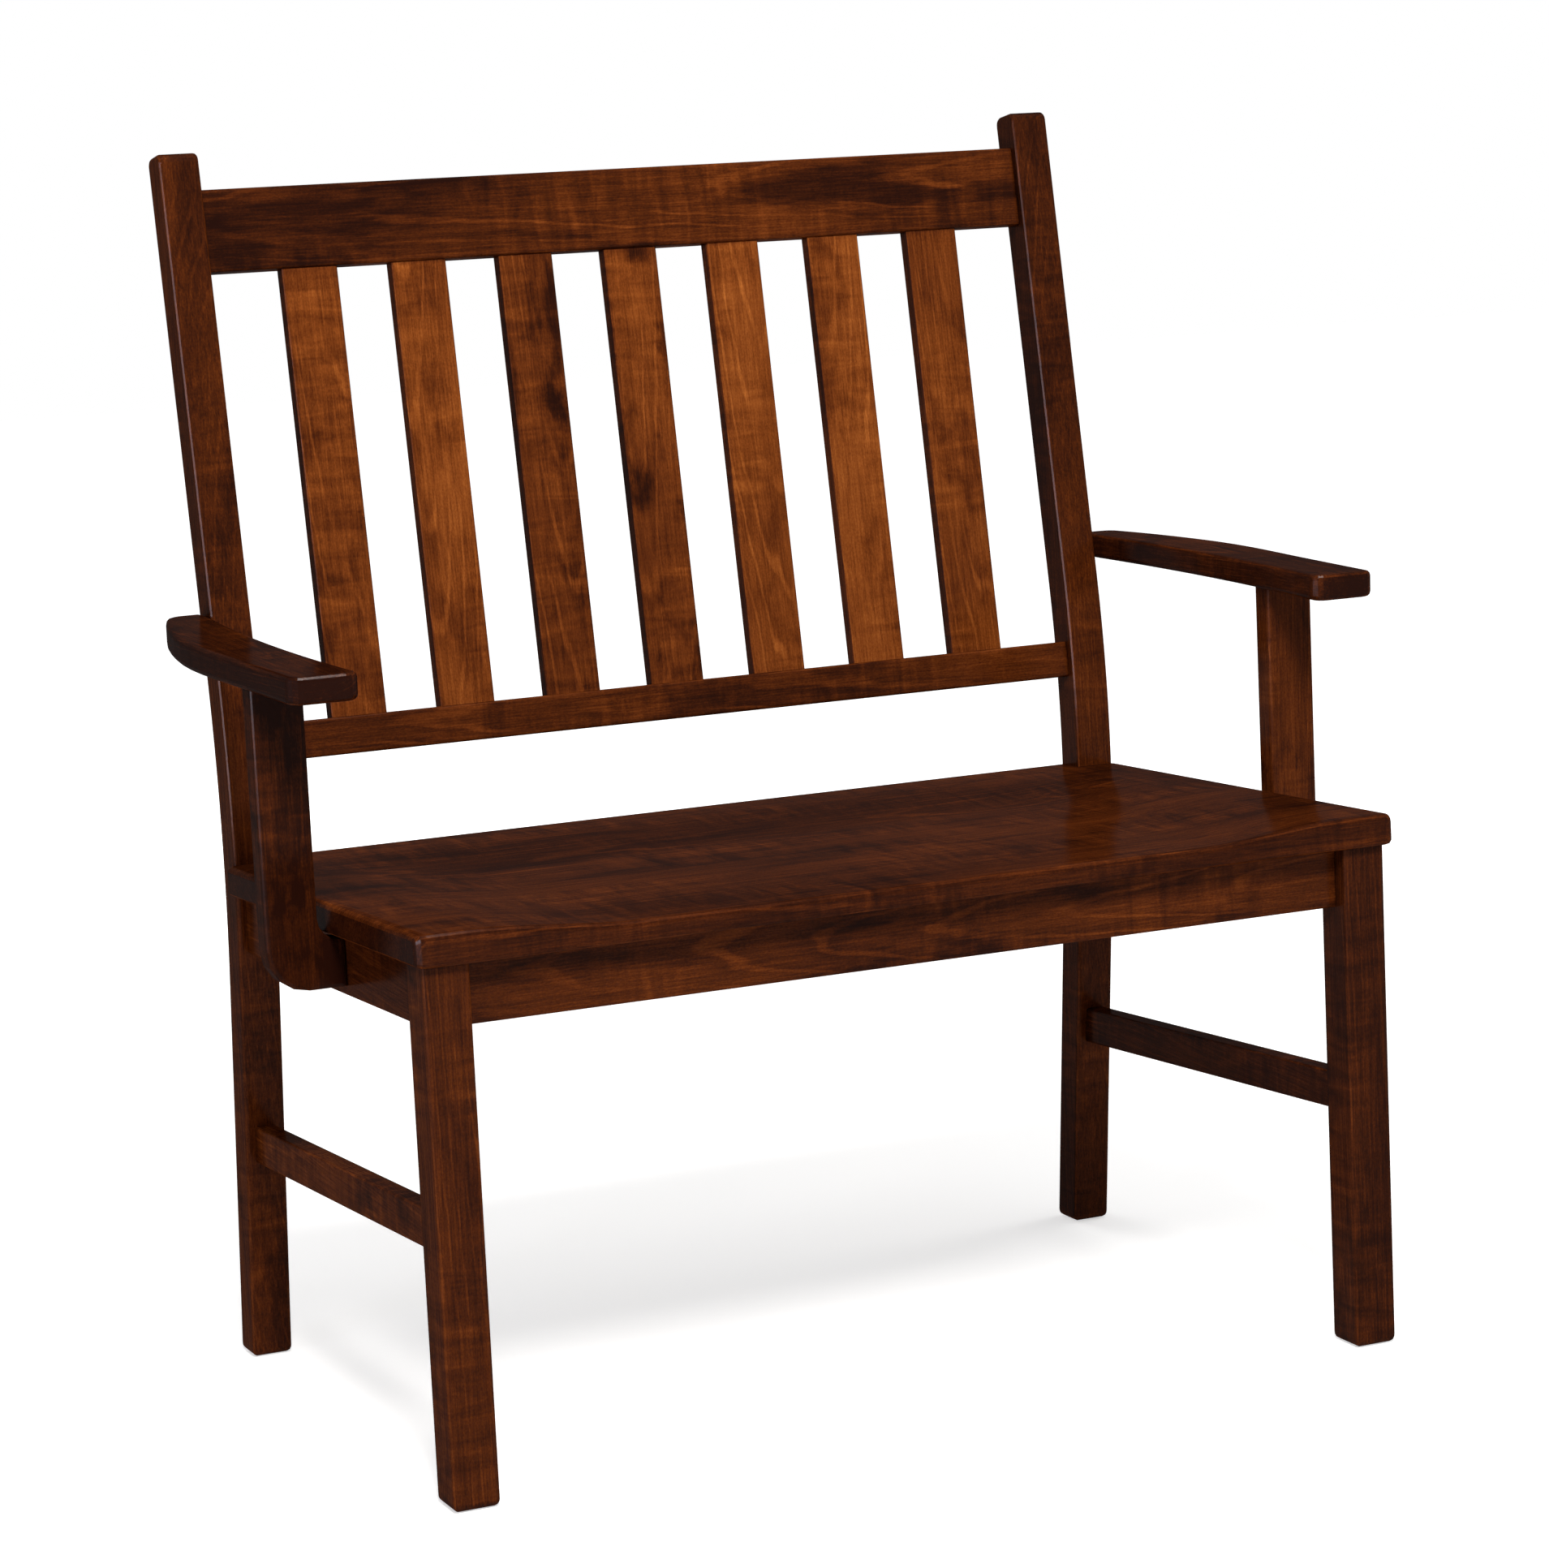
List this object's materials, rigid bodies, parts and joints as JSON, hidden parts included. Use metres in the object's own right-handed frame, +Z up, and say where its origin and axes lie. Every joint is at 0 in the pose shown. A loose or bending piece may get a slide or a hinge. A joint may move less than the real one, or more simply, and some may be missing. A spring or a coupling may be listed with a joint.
{
  "type": "deacons bench",
  "caption": "Wooden bench with a slatted back, a scooped solid seat, open flat arms on J-shaped posts, and raked rear posts.",
  "frame": {"origin": "middle of the footprint of the whole bench, at floor level", "axes": "+X along the bench, to the right as seen from in front; +Y towards the back; +Z up"},
  "size_m": [1.0186, 0.6123, 1.0787],
  "materials": {
    "frame_wood": "dark brown stain, satin lacquer",
    "rail_wood": "dark brown stain, satin lacquer",
    "slat_wood": "warm brown stain with darker blotches, satin lacquer",
    "seat_wood": "dark reddish brown stain, satin lacquer",
    "arm_wood": "dark brown stain, satin lacquer",
    "block_wood": "thin stain, sawn faces",
    "dowel_wood": "bare, fluted",
    "screw_steel": "zinc plated"
  },
  "bodies": {
    "root": {"seat": "seat_wood", "side_apron_left": "rail_wood", "side_apron_right": "rail_wood", "corner_block_front_left": "block_wood", "seat_screw_front_left": "screw_steel", "corner_block_front_right": "block_wood", "seat_screw_front_right": "screw_steel", "corner_block_rear_left": "block_wood", "seat_screw_rear_left": "screw_steel", "corner_block_rear_right": "block_wood", "seat_screw_rear_right": "screw_steel", "crest_rail": "rail_wood", "lower_back_rail": "rail_wood", "back_slat_1": "slat_wood", "back_slat_2": "slat_wood", "back_slat_3": "slat_wood", "back_slat_4": "slat_wood", "back_slat_5": "slat_wood", "back_slat_6": "slat_wood", "back_slat_7": "slat_wood", "rear_post_left": "frame_wood", "front_leg_left": "frame_wood", "rear_post_right": "frame_wood", "front_leg_right": "frame_wood", "front_apron": "rail_wood", "rear_apron": "rail_wood", "side_stretcher_left": "rail_wood", "side_stretcher_right": "rail_wood", "arm_left": "arm_wood", "arm_dowel_front_left": "dowel_wood", "arm_dowel_rear_left": "dowel_wood", "arm_post_left": "frame_wood", "foot_screw_upper_left": "screw_steel", "foot_screw_lower_left": "screw_steel", "arm_right": "arm_wood", "arm_dowel_front_right": "dowel_wood", "arm_dowel_rear_right": "dowel_wood", "arm_post_right": "frame_wood", "foot_screw_upper_right": "screw_steel", "foot_screw_lower_right": "screw_steel"}
  },
  "joints": []
}
